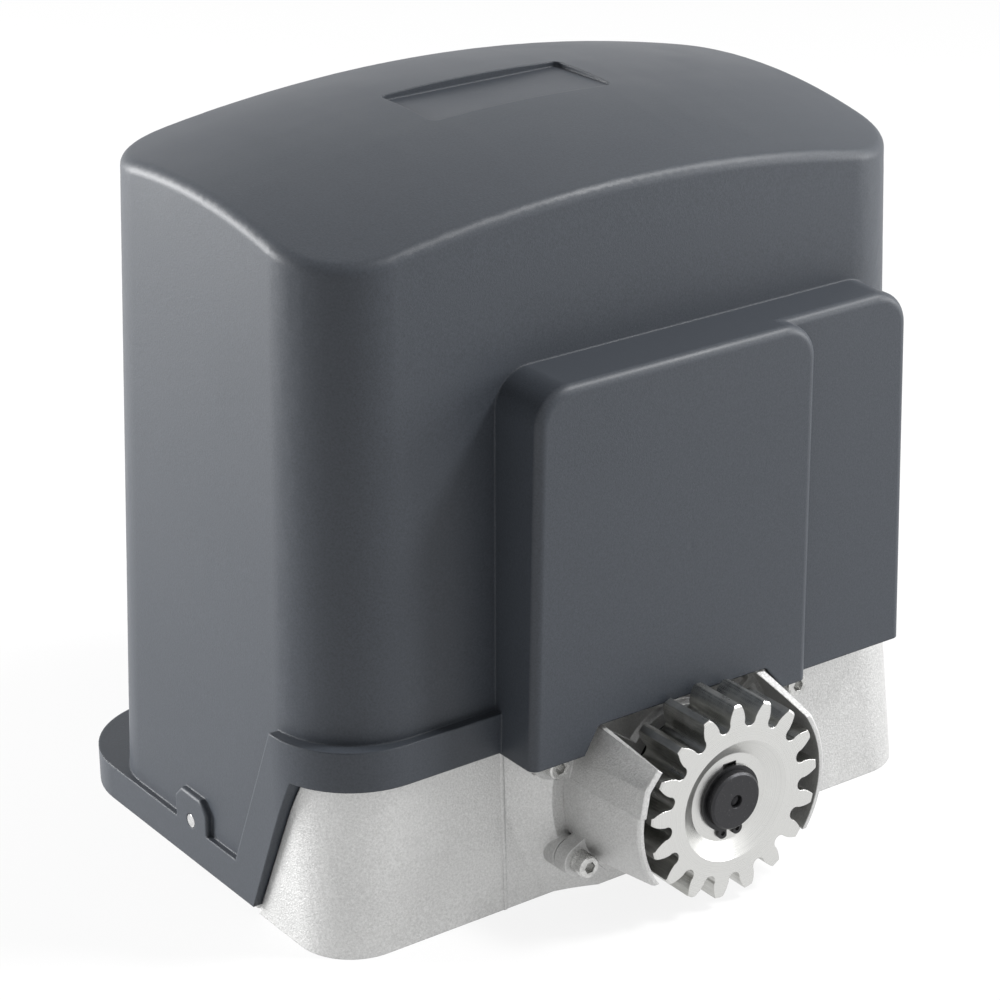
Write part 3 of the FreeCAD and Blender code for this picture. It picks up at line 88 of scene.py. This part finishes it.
# ---------------------------------------------------------------- materials
class Look:
    """One node material around a Principled shader, with helpers that add nodes to it."""

    def __init__(self, name, color, roughness, metallic=0.0, specular=0.5, **sockets):
        self.mat = bpy.data.materials.new(name)
        self.mat.use_nodes = True
        self.tree = self.mat.node_tree
        self.bsdf = self.tree.nodes["Principled BSDF"]
        self.set("Base Color", (*color, 1))
        self.set("Roughness", roughness)
        self.set("Metallic", metallic)
        self.set("Specular IOR Level", specular)
        for key, value in sockets.items():
            self.set(key.replace("_", " "), value)
        self.coords = self.tree.nodes.new("ShaderNodeTexCoord")
        self.place = self.coords.outputs["Object"]
        self.normal = None

    def set(self, socket, value):
        self.bsdf.inputs[socket].default_value = value

    def wire(self, output, socket):
        self.tree.links.new(output, self.bsdf.inputs[socket])

    def put(self, target, value):
        """Links an output, or sets a number or vector, on an input socket."""
        if isinstance(value, bpy.types.NodeSocket):
            self.tree.links.new(value, target)
        else:
            target.default_value = value

    def math(self, op, a, b=0.0):
        n = self.tree.nodes.new("ShaderNodeMath")
        n.operation = op
        self.put(n.inputs[0], a)
        self.put(n.inputs[1], b)
        return n.outputs[0]

    def vec(self, op, a, b):
        n = self.tree.nodes.new("ShaderNodeVectorMath")
        n.operation = op
        self.put(n.inputs[0], a)
        self.put(n.inputs[1], b)
        return n.outputs["Value"] if op in ("LENGTH", "DISTANCE", "DOT_PRODUCT") else n.outputs[0]

    def noise(self, scale, detail, rough, stretch=None):
        n = self.tree.nodes.new("ShaderNodeTexNoise")
        at = self.vec("MULTIPLY", self.place, stretch) if stretch else self.place
        self.put(n.inputs["Vector"], at)
        n.inputs["Scale"].default_value = scale
        n.inputs["Detail"].default_value = detail
        n.inputs["Roughness"].default_value = rough
        return n.outputs["Fac"]

    def cells(self, scale):
        n = self.tree.nodes.new("ShaderNodeTexVoronoi")
        self.put(n.inputs["Vector"], self.place)
        n.inputs["Scale"].default_value = scale
        return n.outputs["Distance"]

    def rings(self, radius, per_metre, detail):
        """Noise that changes with distance from an axis only: turning marks."""
        n = self.tree.nodes.new("ShaderNodeTexNoise")
        n.noise_dimensions = "1D"
        self.put(n.inputs["W"], self.math("MULTIPLY", radius, per_metre))
        n.inputs["Scale"].default_value = 1.0
        n.inputs["Detail"].default_value = detail
        return n.outputs["Fac"]

    def radius(self, x, y, z, along):
        """Distance from the axis through (x, y, z) in direction along."""
        flat = tuple(0.0 if a else 1.0 for a in along)
        away = self.vec("SUBTRACT", self.place, (x, y, z))
        return self.vec("LENGTH", self.vec("MULTIPLY", away, flat), (0, 0, 0))

    def spread(self, value, low, high, to_low, to_high, smooth=False):
        n = self.tree.nodes.new("ShaderNodeMapRange")
        if smooth:
            n.interpolation_type = "SMOOTHSTEP"
        self.put(n.inputs["Value"], value)
        ends = {"From Min": low, "From Max": high, "To Min": to_low, "To Max": to_high}
        for key, end in ends.items():
            n.inputs[key].default_value = end
        return n.outputs["Result"]

    def mix(self, factor, a, b):
        n = self.tree.nodes.new("ShaderNodeMix")
        n.data_type = "RGBA"
        self.put(n.inputs["Factor"], factor)
        for key, c in (("A", a), ("B", b)):
            socket = [s for s in n.inputs if s.name == key and s.type == "RGBA"][0]
            self.put(socket, c if isinstance(c, bpy.types.NodeSocket) else (*c, 1))
        return [s for s in n.outputs if s.type == "RGBA"][0]

    def facing(self, axis):
        """How squarely the surface faces an axis of the object, from 0 to 1."""
        along = self.vec("DOT_PRODUCT", self.coords.outputs["Normal"], axis)
        return self.math("ABSOLUTE", along)

    def tint(self, value, low, high, dark, light):
        """Colour from dark to light as value goes from low to high."""
        self.wire(self.mix(self.spread(value, low, high, 0, 1), dark, light), "Base Color")

    def gloss(self, value, low, high):
        """Roughness from low to high over the middle of value."""
        self.wire(self.spread(value, *MIDDLE, low, high), "Roughness")

    def relief(self, height, depth, strength=1.0):
        n = self.tree.nodes.new("ShaderNodeBump")
        n.inputs["Strength"].default_value = strength
        n.inputs["Distance"].default_value = depth
        self.put(n.inputs["Height"], height)
        if self.normal is not None:
            self.put(n.inputs["Normal"], self.normal)
        self.normal = n.outputs["Normal"]
        self.wire(self.normal, "Normal")

    def rounded(self, radius):
        """Catches light along edges, as a small radius does."""
        n = self.tree.nodes.new("ShaderNodeBevel")
        n.samples = 6
        n.inputs["Radius"].default_value = radius
        self.normal = n.outputs["Normal"]
        self.wire(self.normal, "Normal")


def shade(color, factor):
    return tuple(min(1.0, c * factor) for c in color)


def cover_plastic():
    """Moulded anthracite with a fine spark-eroded grain."""
    color = (0.043, 0.049, 0.059)
    look = Look("cover_plastic", color, 0.46, specular=0.3)
    look.rounded(1.0 * MM)
    grain = look.noise(1300, 3, 0.65)
    pits = look.cells(2300)
    cloud = look.noise(26, 3, 0.5)
    look.tint(grain, *MIDDLE, shade(color, 0.84), shade(color, 1.18))
    wide = look.spread(cloud, *MIDDLE, 0.43, 0.49)
    close = look.spread(grain, *MIDDLE, -0.02, 0.02)
    look.wire(look.math("ADD", wide, close), "Roughness")
    look.relief(look.math("ADD", grain, look.math("MULTIPLY", pits, 0.5)), 0.06 * MM, 0.6)
    return look.mat


def cast_aluminium():
    """Die casting, blasted with shot: a close grain of tiny dents."""
    color = (0.55, 0.55, 0.545)
    look = Look("cast_aluminium", color, 0.5, metallic=0.8)
    look.rounded(0.7 * MM)
    dents = look.cells(1500)
    grain = look.noise(1150, 4, 0.7)
    fine = look.noise(3200, 2, 0.6)
    cloud = look.noise(34, 4, 0.6)
    coarse = look.spread(grain, 0.34, 0.66, 0.0, 0.6)
    tone = look.math("ADD", coarse, look.spread(fine, 0.34, 0.66, 0.0, 0.3))
    tone = look.math("ADD", tone, look.spread(cloud, 0.35, 0.65, 0.0, 0.1))
    look.wire(look.mix(tone, shade(color, 0.74), shade(color, 1.2)), "Base Color")
    look.gloss(grain, 0.44, 0.58)
    look.relief(look.math("ADD", dents, grain), 0.15 * MM, 0.6)
    return look.mat


def inner_aluminium():
    """Machined and cast parts inside, smoother than the blasted base."""
    color = (0.56, 0.56, 0.55)
    look = Look("inner_aluminium", color, 0.45, metallic=0.85)
    grain = look.noise(600, 4, 0.6)
    look.tint(grain, *MIDDLE, shade(color, 0.85), shade(color, 1.08))
    look.relief(grain, 0.12 * MM, 0.5)
    return look.mat


def gear_steel():
    """Bright turned faces, flanks with cutting marks and a film of oil."""
    look = Look("gear_steel", (0.6, 0.6, 0.59), 0.3, metallic=1.0)
    look.rounded(0.45 * MM)
    r = look.radius(AXIS_X, 0, AXIS_Z, (0, 1, 0))
    marks = look.rings(r, 7000, 3)
    oil = look.noise(110, 3, 0.5)
    strokes = look.noise(1100, 3, 0.6, stretch=(1, 0.06, 1))
    face = look.spread(look.facing((0, 1, 0)), 0.55, 0.85, 0.0, 1.0, True)
    turned = look.mix(look.spread(marks, *MIDDLE, 0, 1), (0.54, 0.54, 0.53), (0.74, 0.74, 0.72))
    flank = look.mix(look.spread(oil, 0.35, 0.65, 0, 1), (0.42, 0.42, 0.4), (0.6, 0.6, 0.58))
    scored = look.spread(strokes, 0.4, 0.7, 0.0, 0.35)
    flank = look.mix(scored, flank, (0.22, 0.22, 0.21))
    look.wire(look.mix(face, flank, turned), "Base Color")
    oiled = look.spread(oil, *MIDDLE, 0.26, 0.34)
    look.wire(look.math("ADD", oiled, look.spread(marks, *MIDDLE, -0.04, 0.06)), "Roughness")
    height = look.math("ADD", look.math("MULTIPLY", marks, face), look.math("MULTIPLY", strokes, 0.5))
    look.relief(height, 0.03 * MM, 0.5)
    return look.mat


def black_steel():
    """Black oxide over turned steel, lightly scuffed."""
    look = Look("black_steel", (0.03, 0.03, 0.032), 0.38, metallic=0.7)
    look.rounded(0.3 * MM)
    r = look.radius(AXIS_X, 0, AXIS_Z, (0, 1, 0))
    marks = look.rings(r, 5000, 2)
    scuffs = look.noise(1400, 3, 0.7)
    worn = look.spread(scuffs, 0.6, 0.72, 0, 1)
    look.wire(look.mix(worn, (0.035, 0.035, 0.038), (0.085, 0.085, 0.085)), "Base Color")
    look.gloss(marks, 0.32, 0.46)
    look.relief(marks, 0.03 * MM, 0.5)
    return look.mat


def zinc_steel(name="zinc_steel", color=(0.55, 0.55, 0.54), roughness=0.26):
    """Cold-formed and zinc plated, faintly blotched."""
    look = Look(name, color, roughness, metallic=1.0)
    look.rounded(0.2 * MM)
    blotch = look.noise(420, 3, 0.6)
    fine = look.noise(2600, 2, 0.5)
    look.tint(blotch, 0.35, 0.65, shade(color, 0.78), shade(color, 1.15))
    look.gloss(fine, roughness - 0.06, roughness + 0.1)
    look.relief(fine, 0.02 * MM, 0.4)
    return look.mat


def turned_metal(name, color, roughness):
    """Ground or turned steel, brass and bronze of the drive."""
    look = Look(name, color, roughness, metallic=1.0)
    lines = look.noise(700, 3, 0.6, stretch=(1, 14, 1))
    look.tint(lines, *MIDDLE, shade(color, 0.85), shade(color, 1.12))
    look.gloss(lines, roughness - 0.06, roughness + 0.08)
    look.relief(lines, 0.02 * MM, 0.4)
    return look.mat


def moulded(name, color, roughness=0.45, grain=0.04):
    """Plain moulded plastic or rubber with a light grain."""
    look = Look(name, color, roughness)
    fine = look.noise(1700, 3, 0.6)
    cloud = look.noise(60, 3, 0.5)
    look.tint(cloud, *MIDDLE, shade(color, 0.9), shade(color, 1.1))
    look.gloss(fine, roughness - 0.05, roughness + 0.05)
    look.relief(fine, grain * MM, 0.5)
    return look.mat


def laminated():
    """Stacked sheets seen from the side."""
    look = Look("lamination_steel", (0.2, 0.2, 0.21), 0.45, metallic=0.7)
    sheets = look.noise(1, 0, 0.5, stretch=(0, 0, 1900))
    look.tint(sheets, 0.4, 0.6, (0.12, 0.12, 0.125), (0.3, 0.3, 0.31))
    look.relief(sheets, 0.05 * MM, 0.6)
    return look.mat


def board():
    """Solder mask with a faint pattern of tracks."""
    look = Look("board_green", (0.02, 0.13, 0.06), 0.3)
    across = look.noise(1, 0, 0.5, stretch=(420, 0, 60))
    up = look.noise(1, 0, 0.5, stretch=(60, 0, 420))
    level = look.spread(across, 0.56, 0.6, 0, 1)
    track = look.math("MAXIMUM", level, look.spread(up, 0.56, 0.6, 0, 1))
    look.wire(look.mix(track, (0.015, 0.11, 0.05), (0.04, 0.2, 0.09)), "Base Color")
    look.relief(track, 0.03 * MM, 0.5)
    return look.mat


def coiled():
    """Enamelled wire laid side by side."""
    look = Look("copper_wire", (0.42, 0.16, 0.06), 0.35, metallic=0.8)
    r = look.radius(ROTOR_X, ROTOR_Y, 0, (0, 0, 1))
    wires = look.rings(r, 1300, 0)
    look.tint(wires, 0.35, 0.65, (0.26, 0.08, 0.03), (0.5, 0.2, 0.08))
    look.relief(wires, 0.3 * MM, 0.6)
    return look.mat


LOOKS = {
    "cover_plastic": cover_plastic(),
    "cast_aluminium": cast_aluminium(),
    "inner_aluminium": inner_aluminium(),
    "gear_steel": gear_steel(),
    "black_steel": black_steel(),
    "black_ring": turned_metal("black_ring", (0.05, 0.05, 0.052), 0.4),
    "zinc_steel": zinc_steel(),
    "bright_screw": zinc_steel("bright_screw", (0.72, 0.72, 0.72), 0.2),
    "bearing_steel": turned_metal("bearing_steel", (0.6, 0.6, 0.59), 0.25),
    "lock_brass": turned_metal("lock_brass", (0.6, 0.43, 0.18), 0.3),
    "bronze": turned_metal("bronze", (0.45, 0.27, 0.12), 0.35),
    "lamination_steel": laminated(),
    "copper_wire": coiled(),
    "board_green": board(),
    "seal_rubber": moulded("seal_rubber", (0.02, 0.02, 0.02), 0.6, 0.08),
    "lever_plastic": moulded("lever_plastic", (0.028, 0.028, 0.032), 0.4, 0.06),
    "capacitor_plastic": moulded("capacitor_plastic", (0.62, 0.62, 0.6), 0.35),
    "carrier_plastic": moulded("carrier_plastic", (0.1, 0.1, 0.11), 0.5, 0.06),
    "terminal_green": moulded("terminal_green", (0.05, 0.3, 0.09), 0.4),
    "relay_blue": moulded("relay_blue", (0.04, 0.12, 0.36), 0.3),
    "chip_black": moulded("chip_black", (0.02, 0.02, 0.02), 0.4),
    "coil_tape": moulded("coil_tape", (0.55, 0.4, 0.08), 0.4),
}


# ---------------------------------------------------------------- pieces
def skin(node):
    """A welded, smooth-shaded copy of a CAD node that stands for it and rides with its body."""
    src = NODES[node]
    mesh = src.data.copy()
    bm = bmesh.new()
    bm.from_mesh(mesh)
    bmesh.ops.remove_doubles(bm, verts=bm.verts, dist=WELD)
    bmesh.ops.dissolve_degenerate(bm, edges=bm.edges, dist=WELD)
    bmesh.ops.recalc_face_normals(bm, faces=bm.faces)
    bm.to_mesh(mesh)
    bm.free()
    for name in ("sharp_face", "custom_normal"):
        if name in mesh.attributes:
            mesh.attributes.remove(mesh.attributes[name])
    mesh.shade_smooth()
    mesh.set_sharp_from_angle(angle=math.radians(CREASE))
    piece = bpy.data.objects.new(node + "_skin", mesh)
    bpy.context.scene.collection.objects.link(piece)
    even = piece.modifiers.new("even", "WEIGHTED_NORMAL")
    even.keep_sharp = True
    even.weight = EVEN_WEIGHT
    mesh.materials.clear()
    mesh.materials.append(LOOKS[SLOT_OF[node]])
    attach(piece, BODY_OF[node])
    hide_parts(node)
    return piece


for name in NODES:
    skin(name)


# ---------------------------------------------------------------- stage
def white_to_camera(tree, light, share):
    """White for camera, glossy and transmission rays; other rays see the light strength."""
    path = tree.nodes.new("ShaderNodeLightPath")
    top = tree.nodes.new("ShaderNodeMath")
    top.operation = "MAXIMUM"
    tree.links.new(path.outputs["Is Camera Ray"], top.inputs[0])
    tree.links.new(path.outputs["Is Transmission Ray"], top.inputs[1])
    both = tree.nodes.new("ShaderNodeMath")
    both.operation = "MAXIMUM"
    tree.links.new(top.outputs[0], both.inputs[0])
    tree.links.new(path.outputs["Is Glossy Ray"], both.inputs[1])
    out = tree.nodes.new("ShaderNodeMapRange")
    tree.links.new(both.outputs[0], out.inputs["Value"])
    out.inputs["To Min"].default_value = light
    out.inputs["To Max"].default_value = share
    return out.outputs["Result"]


def backdrop():
    world = bpy.data.worlds.new("studio")
    bpy.context.scene.world = world
    world.use_nodes = True
    background = world.node_tree.nodes["Background"]
    background.inputs["Color"].default_value = (1, 1, 1, 1)
    strength = white_to_camera(world.node_tree, WORLD_LIGHT, 1.0)
    world.node_tree.links.new(strength, background.inputs["Strength"])


def floor():
    mesh = bpy.data.meshes.new("floor")
    corners = [(x * FLOOR_HALF, y * FLOOR_HALF, 0) for x, y in ((-1, -1), (1, -1), (1, 1), (-1, 1))]
    mesh.from_pydata(corners, [], [(0, 1, 2, 3)])
    piece = bpy.data.objects.new("floor", mesh)
    bpy.context.scene.collection.objects.link(piece)
    piece.location.z = -FLOOR_DROP
    mat = bpy.data.materials.new("floor")
    mat.use_nodes = True
    tree = mat.node_tree
    paint = tree.nodes["Principled BSDF"]
    paint.inputs["Base Color"].default_value = (0.9, 0.9, 0.9, 1)
    paint.inputs["Roughness"].default_value = 0.9
    glow = tree.nodes.new("ShaderNodeEmission")
    glow.inputs["Strength"].default_value = 1.0
    mix = tree.nodes.new("ShaderNodeMixShader")
    tree.links.new(white_to_camera(tree, 0.0, FLOOR_WHITE), mix.inputs["Fac"])
    tree.links.new(paint.outputs[0], mix.inputs[1])
    tree.links.new(glow.outputs[0], mix.inputs[2])
    tree.links.new(mix.outputs[0], tree.nodes["Material Output"].inputs["Surface"])
    mesh.materials.append(mat)


def toward(azimuth, elevation):
    """Unit vector that leads away from the object: 0 is the front, 90 the left end."""
    a = math.radians(azimuth)
    e = math.radians(elevation)
    return Vector((-math.sin(a) * math.cos(e), -math.cos(a) * math.cos(e), math.sin(e)))


def softbox(name, azimuth, elevation, distance, size, power):
    """Square area lamp that looks at the middle of the object."""
    lamp = bpy.data.lights.new(name, "AREA")
    lamp.shape = "SQUARE"
    lamp.size = size
    lamp.energy = power
    away = toward(azimuth, elevation)
    obj = bpy.data.objects.new(name, lamp)
    bpy.context.scene.collection.objects.link(obj)
    obj.location = LIGHT_AIM + away * distance
    obj.rotation_euler = away.to_track_quat("Z", "Y").to_euler()


def camera():
    """Long lens from the front left, a little above the crown."""
    azimuth = math.radians(CAMERA_AZIMUTH)
    roll = math.radians(CAMERA_ROLL)
    back = toward(CAMERA_AZIMUTH, CAMERA_ELEVATION)
    right = Vector((math.cos(azimuth), -math.sin(azimuth), 0))
    up = back.cross(right)
    tilted = right * math.cos(roll) + up * math.sin(roll)
    up = up * math.cos(roll) - right * math.sin(roll)
    data = bpy.data.cameras.new("camera")
    data.sensor_width = CAMERA_SENSOR
    data.lens = CAMERA_LENS
    data.clip_start = 0.01
    obj = bpy.data.objects.new("camera", data)
    bpy.context.scene.collection.objects.link(obj)
    turn = Matrix((tilted, up, back)).transposed().to_4x4()
    obj.matrix_world = Matrix.Translation(CAMERA_PLACE) @ turn
    bpy.context.scene.camera = obj


backdrop()
floor()
for lamp in LAMPS:
    softbox(*lamp)
camera()
bpy.context.scene.view_settings.view_transform = "Standard"
